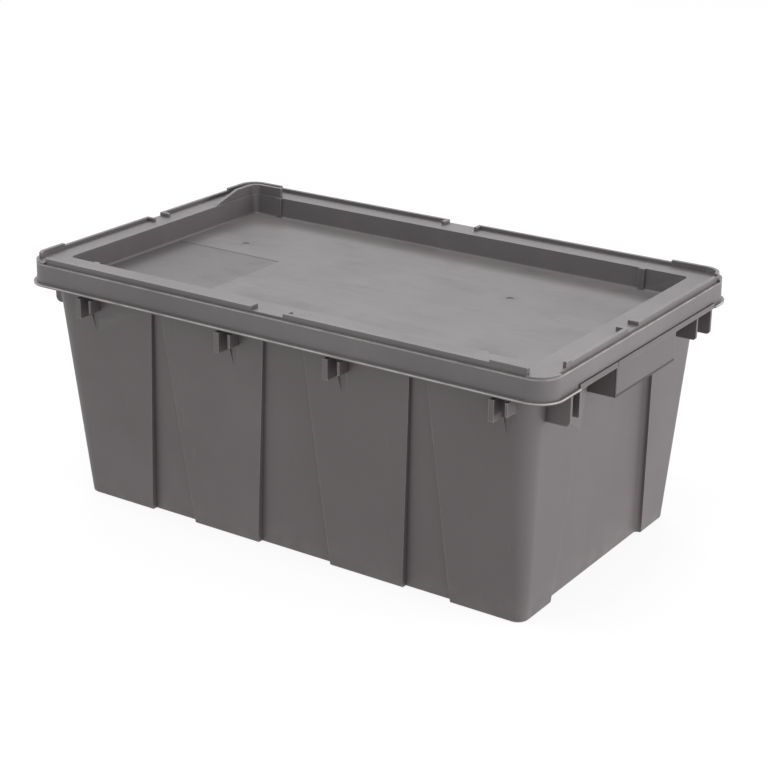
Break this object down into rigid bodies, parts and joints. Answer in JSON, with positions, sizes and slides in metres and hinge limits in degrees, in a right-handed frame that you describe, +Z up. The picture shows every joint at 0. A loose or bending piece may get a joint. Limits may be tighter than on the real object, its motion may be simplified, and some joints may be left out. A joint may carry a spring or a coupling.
{
  "type": "storage tote with lid",
  "caption": "Plastic stack-and-nest storage tote with tapering ribbed walls, a grip under the rim at each end and a press-on lid with a sunk stacking tray.",
  "frame": {"origin": "middle of the tote's base, on the surface it stands on", "axes": "+X along the long side, +Y along the short side, +Z up out of the tote"},
  "size_m": [0.508, 0.3146, 0.2246],
  "materials": {
    "tote_plastic": "moulded warm dark grey polyethylene, fine matte grain, light scuffs",
    "lid_plastic": "moulded warm dark grey polyethylene, fine matte grain on top, smooth label panel"
  },
  "bodies": {
    "tote": {"tote_body": "tote_plastic"},
    "lid": {"lid": "lid_plastic"}
  },
  "joints": [
    {"name": "lid_lift", "type": "slide", "parent": "tote", "child": "lid", "axis": [0, 0, 1], "range_m": [0, 0.15]}
  ]
}
